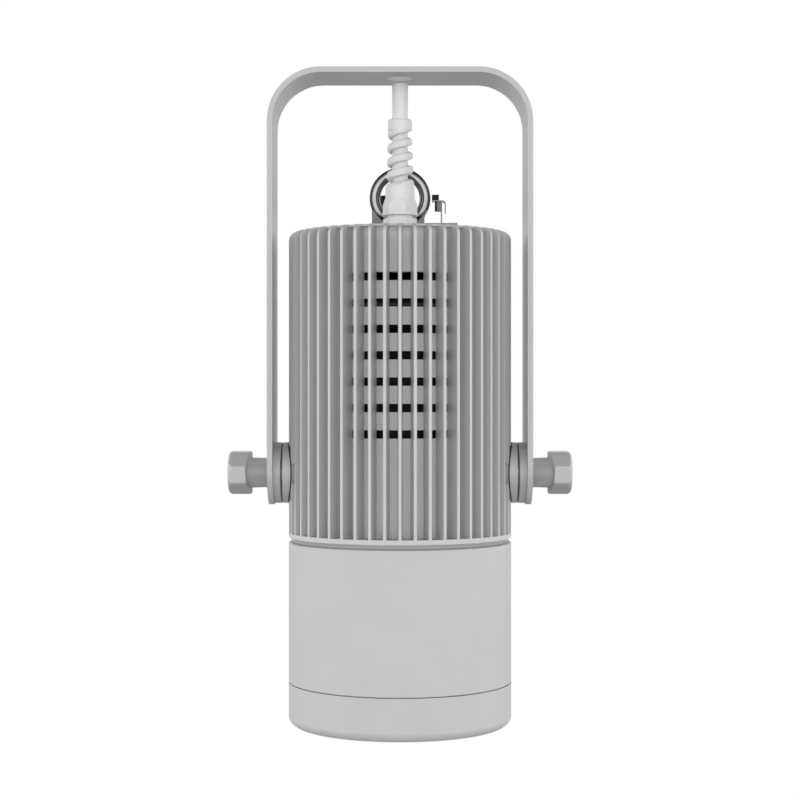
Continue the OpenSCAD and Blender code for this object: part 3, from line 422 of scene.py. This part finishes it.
# Toothed discs: turned aluminium discs with radial teeth milled across the face,
# screwed inside the arms and into the pockets of the housing. Their rims are
# coated. Light is painted paler on their tops, and shade is painted dark on the
# teeth and in the pockets round the inner discs.
DISC_GREY = (0.54, 0.54, 0.54)
DISC_TOP_PAINTED_LIGHT = (0.7, 0.7, 0.7)
TOOTH_GAP_PAINTED_SHADE = (0.12, 0.12, 0.12)
POCKET_PAINTED_SHADE = (0.36, 0.36, 0.36)
POCKET_MOUTH_PAINTED_SHADE = (0.045, 0.045, 0.045)
ZINC = (0.55, 0.56, 0.58)
LAMP_RADIUS = 0.064
ROUND_TILT_AXIS = (0, 1, 1)
TILT_AXIS = (0, 0, -0.2301)
DISC_TOP = (UP, (0, 0, TILT_AXIS[2] + 0.0175), 0.002, 0.0145)
TOOTHED_FACE = (ROUND_TILT_AXIS, TILT_AXIS, 0.0169)
POCKET_MOUTH = (ROUND_LAMP, YOKE_TOP, LAMP_RADIUS + 0.0006)
POCKET_INSIDE = (ROUND_LAMP, YOKE_TOP, LAMP_RADIUS - 0.0002)


def machined_metal(name, colour, roughness, line_grain=2500.0, depth=0.00002):
    """Bare metal with fine tool marks, a little uneven in its shine."""
    material, tree, shader = new_material(name)
    place = mottled_colour(tree, shader, colour, spread=0.05, grain=400.0)
    surface_bump(tree, shader, place, line_grain, depth, detail=1.0)
    shine = tree.nodes.new("ShaderNodeTexNoise")
    shine.inputs["Scale"].default_value = 250.0
    spread = tree.nodes.new("ShaderNodeMapRange")
    spread.inputs["To Min"].default_value = roughness * 0.8
    spread.inputs["To Max"].default_value = min(1.0, roughness * 1.25)
    tree.links.new(place.outputs["Object"], shine.inputs["Vector"])
    tree.links.new(shine.outputs["Fac"], spread.inputs["Value"])
    tree.links.new(spread.outputs["Result"], shader.inputs["Roughness"])
    shader.inputs["Metallic"].default_value = 1.0
    return material


outer_disc = powder_coat("disc_coat", DISC_GREY, roughness=0.42, grain=1200.0, height=0.00002)
# Painted light: the tops of the disc rims are paler.
paint_where(outer_disc, DISC_TOP_PAINTED_LIGHT, DISC_TOP)
# Painted shade: the toothed faces inside the rim are dark.
paint_where(outer_disc, TOOTH_GAP_PAINTED_SHADE, TOOTHED_FACE)
give(outer_disc, "outer_tooth_disc_left", "outer_tooth_disc_right")
sunk_disc = powder_coat("sunk_disc_coat", DISC_GREY, roughness=0.42, grain=900.0, height=0.00035)
# Painted light: the tops of the disc rims are paler.
paint_where(sunk_disc, DISC_TOP_PAINTED_LIGHT, DISC_TOP)
# Painted shade: black at the pocket's mouth and grey deeper in the pocket.
paint_where(sunk_disc, POCKET_MOUTH_PAINTED_SHADE, POCKET_MOUTH)
paint_where(sunk_disc, POCKET_PAINTED_SHADE, POCKET_INSIDE)
# Painted shade: the toothed faces inside the rim are dark.
paint_where(sunk_disc, TOOTH_GAP_PAINTED_SHADE, TOOTHED_FACE)
give(sunk_disc, "inner_tooth_disc_left", "inner_tooth_disc_right")
zinc = machined_metal("zinc_plate", ZINC, roughness=0.32)
give(zinc, "outer_disc_screws", "inner_disc_screws")


# Housing: one aluminium casting with filleted fins, powder coated like the yoke.
# The vent slots are milled through the core wall; shade is painted black on the bore behind it.
# Light is painted paler at the top of the gaps between the fins.
CASTING_GREY = (0.62, 0.62, 0.62)
GAP_TOP_PAINTED_LIGHT = (0.7, 0.7, 0.7)
BORE_PAINTED_SHADE = (0.012, 0.012, 0.012)
BORE = (ROUND_LAMP, YOKE_TOP, 0.0506)
BORE_LENGTH = (UP, (0, 0, -0.18), 0.0868)
GAP_FLOORS = (ROUND_LAMP, YOKE_TOP, 0.0565)
HOUSING_TOP = (UP, (0, 0, -0.0925), 0.004, 0.006)
casting_coat = powder_coat("casting_coat", CASTING_GREY, roughness=0.5, grain=520.0)
# Painted shade: the bore is black inside.
paint_where(casting_coat, BORE_PAINTED_SHADE, BORE, BORE_LENGTH)
# Painted light: the gap floors are paler near the top of the housing.
paint_where(casting_coat, GAP_TOP_PAINTED_LIGHT, GAP_FLOORS, HOUSING_TOP)
give(casting_coat, "heatsink_housing")


# Barrel and bezel: turned aluminium, coated in the same grey but smoother.
# The barrel is screwed under the heat spreader; the bezel plugs into it.
BARREL_GREY = (0.59, 0.59, 0.59)
GROOVE_PAINTED_SHADE = (0.36, 0.36, 0.36)
BARREL_SHEEN = (0.7, 0.7, 0.7, 1)
SEAL_BLACK = (0.05, 0.05, 0.05)
GROOVE_FLOOR = (ROUND_LAMP, YOKE_TOP, 0.0632)
GROOVE_WIDTH = (UP, (0, 0, -0.2688), 0.0022)
barrel_coat = powder_coat("barrel_coat", BARREL_GREY, roughness=0.45, grain=800.0, height=0.00004)
# Painted shade: the groove where the barrel meets the housing is darker.
paint_where(barrel_coat, GROOVE_PAINTED_SHADE, GROOVE_FLOOR, GROOVE_WIDTH)
bezel_coat = powder_coat("bezel_coat", BARREL_GREY, roughness=0.45, grain=800.0, height=0.00004)
for coat in (barrel_coat, bezel_coat):
    coat.node_tree.nodes["Principled BSDF"].inputs["Specular Tint"].default_value = BARREL_SHEEN
give(barrel_coat, "barrel")
give(bezel_coat, "front_bezel")
give(zinc, "barrel_screws")
seal_rubber = moulded_plastic("seal_rubber", SEAL_BLACK, roughness=0.75, grain=1600.0, gloss=0.25)
give(seal_rubber, "barrel_seal")


# Front glass: clear toughened float glass with ground edges. A slotted ring of bare
# aluminium, screwed into the bezel, presses it on a rubber gasket.
GLASS_TINT = (0.95, 0.98, 0.97)
ALUMINIUM = (0.76, 0.77, 0.78)
glass, tree, shader = new_material("clear_glass")
mottled_colour(tree, shader, GLASS_TINT, spread=0.01, grain=20.0)
shader.inputs["Roughness"].default_value = 0.02
shader.inputs["Transmission Weight"].default_value = 1.0
shader.inputs["IOR"].default_value = 1.5
give(glass, "front_glass")
give(seal_rubber, "glass_gasket")
bare_aluminium = machined_metal("bare_aluminium", ALUMINIUM, roughness=0.34)
give(bare_aluminium, "glass_retainer")


# Reflector: spun from bright aluminium sheet and anodised. The fine marks of the
# spinning tool stay in its surface.
BRIGHT_ALUMINIUM = (0.88, 0.89, 0.9)
bright_sheet = machined_metal("spun_reflector", BRIGHT_ALUMINIUM, roughness=0.12,
                              line_grain=1200.0, depth=0.00001)
give(bright_sheet, "reflector")


# Light source: a white ceramic board with one round field of yellow phosphor. A
# white moulded holder clamps it up against the heat spreader, a thick disc of bare
# aluminium that closes the housing.
CERAMIC_WHITE = (0.84, 0.84, 0.82)
PHOSPHOR_YELLOW = (0.85, 0.66, 0.12)
white_moulding = moulded_plastic("white_moulding", CERAMIC_WHITE, roughness=0.45)
give(white_moulding, "led_holder", "led_board")
phosphor, tree, shader = new_material("phosphor")
place = mottled_colour(tree, shader, PHOSPHOR_YELLOW, spread=0.08, grain=900.0)
surface_bump(tree, shader, place, grain=700.0, height=0.00005)
shader.inputs["Roughness"].default_value = 0.3
give(phosphor, "led_emitter")
give(bare_aluminium, "heat_spreader")
give(zinc, "spreader_screws", "led_holder_screws")


# Fan: black moulded frame and rotor, screwed to a shelf coloured black as painted
# shade. The shelf stands on four black-plated standoffs and shows in the second
# row of slots.
MOULDING_BLACK = (0.014, 0.014, 0.014)
SHEET_BLACK_AS_SHADE = (0.05, 0.05, 0.05)
BLACK_ZINC = (0.06, 0.06, 0.065)
black_moulding = moulded_plastic("black_moulding", MOULDING_BLACK, roughness=0.5)
give(black_moulding, "fan_frame", "fan_rotor")
black_sheet_as_shade = powder_coat("black_sheet_as_shade", SHEET_BLACK_AS_SHADE, roughness=0.6, grain=1200.0, flake=0.0)
give(black_sheet_as_shade, "fan_shelf")
black_zinc = machined_metal("black_zinc", BLACK_ZINC, roughness=0.45)
give(black_zinc, "standoffs", "shelf_screws", "fan_screws")


# Electronics: two circuit boards under dark green lacquer, darker in patches where
# copper and parts lie. They are fixed on the two sides of a tray coloured black as
# painted shade, which stands upright on the heat spreader, below the fan.
BOARD_GREEN = (0.008, 0.022, 0.012)
board, tree, shader = new_material("circuit_board")
place = mottled_colour(tree, shader, BOARD_GREEN, spread=0.35, grain=180.0)
surface_bump(tree, shader, place, grain=900.0, height=0.00005)
shader.inputs["Roughness"].default_value = 0.4
give(board, "driver_board", "control_board")
give(black_sheet_as_shade, "driver_tray")


# Cable gland: body, locknut and a nut that runs on into its spiral bend protection,
# all injection moulded in off-white nylon. A rubber seal inside grips the lead.
NYLON_WHITE = (0.74, 0.74, 0.735)
nylon = moulded_plastic("gland_nylon", NYLON_WHITE, roughness=0.46, grain=1100.0, gloss=0.35)
give(nylon, "gland_body", "gland_locknut", "gland_nut_spiral")
give(seal_rubber, "gland_seal")


# Safety ring: polished stainless bar, bent round and welded upright into a blasted
# grey saddle, which one screw holds from inside the housing. Its reflection of the
# lamp is painted: dark where the steel turns from the eye and on its inner side,
# paler on the innermost strip, with painted shade black at its foot and a painted
# highlight down the inside of the foot.
RING_BRIGHT = (0.55, 0.55, 0.56)
RING_PAINTED_TURNED_DARK = (0.035, 0.035, 0.04)
RING_INNER_PAINTED_REFLECTION = (0.16, 0.16, 0.165)
RING_INNERMOST_PAINTED_REFLECTION = (0.35, 0.35, 0.355)
RING_FOOT_PAINTED_SHADE = (0.012, 0.012, 0.012)
RING_FOOT_PAINTED_HIGHLIGHT = (0.5, 0.5, 0.5)
BLASTED_GREY = (0.31, 0.31, 0.31)
RING_CENTRE = (0, 0, -0.0693)
RING_INNER_SIDE = (ROUND_FRONT_AXIS, RING_CENTRE, 0.0143)
RING_INNERMOST = (ROUND_FRONT_AXIS, RING_CENTRE, 0.0125)
RING_MIDLINE = (ROUND_FRONT_AXIS, RING_CENTRE, 0.0149)
RING_FOOT = (UP, (0, 0, -0.0885), 0.0072, 0.0045)


def polished_steel(name, facing, painted_dark):
    """Polished metal with a painted reflection of a dark room: bright where it faces the eye, dark
    where it turns away.
    """
    material, tree, shader = new_material(name)
    place = mottled_colour(tree, shader, facing, spread=0.02, grain=150.0)
    surface_bump(tree, shader, place, grain=300.0, height=0.00001)
    turn = tree.nodes.new("ShaderNodeLayerWeight")
    turn.inputs["Blend"].default_value = 0.45
    edge = tree.nodes.new("ShaderNodeMapRange")
    edge.interpolation_type = "SMOOTHSTEP"
    edge.inputs["From Min"].default_value = 0.04
    edge.inputs["From Max"].default_value = 0.34
    tree.links.new(turn.outputs["Facing"], edge.inputs["Value"])
    even = shader.inputs["Base Color"].links[0].from_socket
    turned = blended_colour(tree, edge.outputs["Result"], even, painted_dark)
    tree.links.new(turned, shader.inputs["Base Color"])
    shader.inputs["Metallic"].default_value = 1.0
    shader.inputs["Roughness"].default_value = 0.09
    return material


ring_steel = polished_steel("polished_steel", RING_BRIGHT, RING_PAINTED_TURNED_DARK)
# Painted reflection: dark grey on the ring's inner side, paler on its innermost strip.
paint_where(ring_steel, RING_INNER_PAINTED_REFLECTION, RING_INNER_SIDE)
paint_where(ring_steel, RING_INNERMOST_PAINTED_REFLECTION, RING_INNERMOST)
# Painted shade: black at the ring's foot, over the saddle.
paint_where(ring_steel, RING_FOOT_PAINTED_SHADE, RING_FOOT)
# Painted highlight: a pale band on the inside of the ring's foot.
paint_where(ring_steel, RING_FOOT_PAINTED_HIGHLIGHT, RING_FOOT, RING_MIDLINE)
give(ring_steel, "safety_ring")
blasted = powder_coat("blasted_grey", BLASTED_GREY, roughness=0.6, grain=1500.0, flake=0.2)
give(blasted, "ring_saddle")
give(zinc, "ring_bolt")


# Control socket: nickel-plated brass shell with its nut, closed by a black rubber
# cap with grip ribs. It stands behind the safety ring.
NICKEL = (0.66, 0.66, 0.65)
CAP_BLACK = (0.014, 0.014, 0.014)
nickel = machined_metal("nickel_plate", NICKEL, roughness=0.28)
give(nickel, "control_socket", "socket_nut")
black_rubber = moulded_plastic("black_rubber", CAP_BLACK, roughness=0.6, grain=1500.0, gloss=0.3)
give(black_rubber, "socket_cap")


# Cable clip: a bent steel strip on a blasted grey foot, which flush screws hold on
# the housing. The strip carries a rubber pad on top and a grey jaw below, which is
# black on its free side.
STRIP_GREY = (0.3, 0.3, 0.31)
JAW_BLACK = (0.015, 0.015, 0.015)
JAW_FACE = (ACROSS, (0.0208, 0, 0), 0.0012)
bent_sheet = machined_metal("bent_sheet", STRIP_GREY, roughness=0.3)
give(bent_sheet, "clip_bracket")
give(blasted, "clip_base")
jaw_grey = powder_coat("jaw_grey", BLASTED_GREY, roughness=0.6, grain=1500.0, flake=0.2)
paint_where(jaw_grey, JAW_BLACK, JAW_FACE)
give(jaw_grey, "clip_jaw")
give(black_rubber, "clip_pad")
give(zinc, "clip_screws")


# Tilt knobs: moulded round a steel stud and coated like the yoke. Shade is painted
# darker on the lower part of the head and on the neck, darker still at the neck's
# middle, and light is painted paler at the neck's top. A plated washer lies between
# neck and arm.
KNOB_UNDERSIDE_PAINTED_SHADE = (0.42, 0.42, 0.42)
NECK_PAINTED_SHADE = (0.46, 0.46, 0.46)
NECK_TOP_PAINTED_LIGHT = (0.6, 0.6, 0.6)
NECK_MIDDLE_PAINTED_SHADE = (0.37, 0.37, 0.37)
NECK_RADIUS = 0.0093
KNOB_UNDERSIDE = (UP, (0, 0, -0.2454), 0.0099)
NECK = ((ROUND_TILT_AXIS, TILT_AXIS, NECK_RADIUS), (ACROSS, TILT_AXIS, 0.0885))
NECK_TOP = (UP, (0, 0, TILT_AXIS[2] + NECK_RADIUS), 0.001, 0.008)
NECK_MIDDLE = (UP, TILT_AXIS, 0.0005, 0.006)
knob_coat = powder_coat("knob_coat", POWDER_GREY, roughness=0.42, grain=1000.0, height=0.00003)
# Painted shade: the lower part of the knob head is darker.
paint_where(knob_coat, KNOB_UNDERSIDE_PAINTED_SHADE, KNOB_UNDERSIDE)
# Painted shade on the neck, painted light at its top, deeper painted shade at its middle.
paint_where(knob_coat, NECK_PAINTED_SHADE, *NECK)
paint_where(knob_coat, NECK_TOP_PAINTED_LIGHT, *NECK, NECK_TOP)
paint_where(knob_coat, NECK_MIDDLE_PAINTED_SHADE, *NECK, NECK_MIDDLE)
give(knob_coat, "tilt_knob_left", "tilt_knob_right")
give(zinc, "knob_stud_left", "knob_stud_right", "knob_washer_left", "knob_washer_right")
